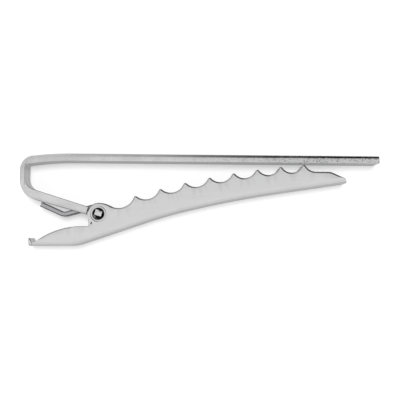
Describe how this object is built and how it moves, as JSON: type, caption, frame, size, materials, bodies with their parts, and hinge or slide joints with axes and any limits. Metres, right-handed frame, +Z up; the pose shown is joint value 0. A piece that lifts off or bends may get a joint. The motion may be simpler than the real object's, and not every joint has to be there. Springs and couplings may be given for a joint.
{
  "type": "tie clip",
  "caption": "Tie clip: a flat front bar bent back into a short arm, with a sprung toothed jaw that pivots on the arm's lugs and opens at a thumb tab.",
  "frame": {"origin": "middle of the underside of the clip's box as it lies on its side on a table, jaw shut", "axes": "+X along the front bar to its free end, +Y from the jaw to the front bar's outer face, +Z up from the table, across the clip's width"},
  "size_m": [0.05, 0.013, 0.0056],
  "materials": {
    "plated_strip": "bright silver-coloured plating, satin on the cut edges",
    "plated_sheet": "bright silver-coloured plating, edges rolled by the punch",
    "spring_steel": "plain bright spring steel"
  },
  "bodies": {
    "strip": {"front_bar": "plated_strip", "spring": "spring_steel"},
    "jaw": {"jaw": "plated_sheet"}
  },
  "joints": [
    {"name": "jaw_pivot", "type": "hinge", "parent": "strip", "child": "jaw", "pos_m": [-0.01405, -0.00188, 0.0028], "axis": [0, 0, -1], "range_deg": [0, 30], "stiffness_Nm_per_rad": 0.05, "springref_deg": -22.92, "deforming": ["spring"]}
  ]
}
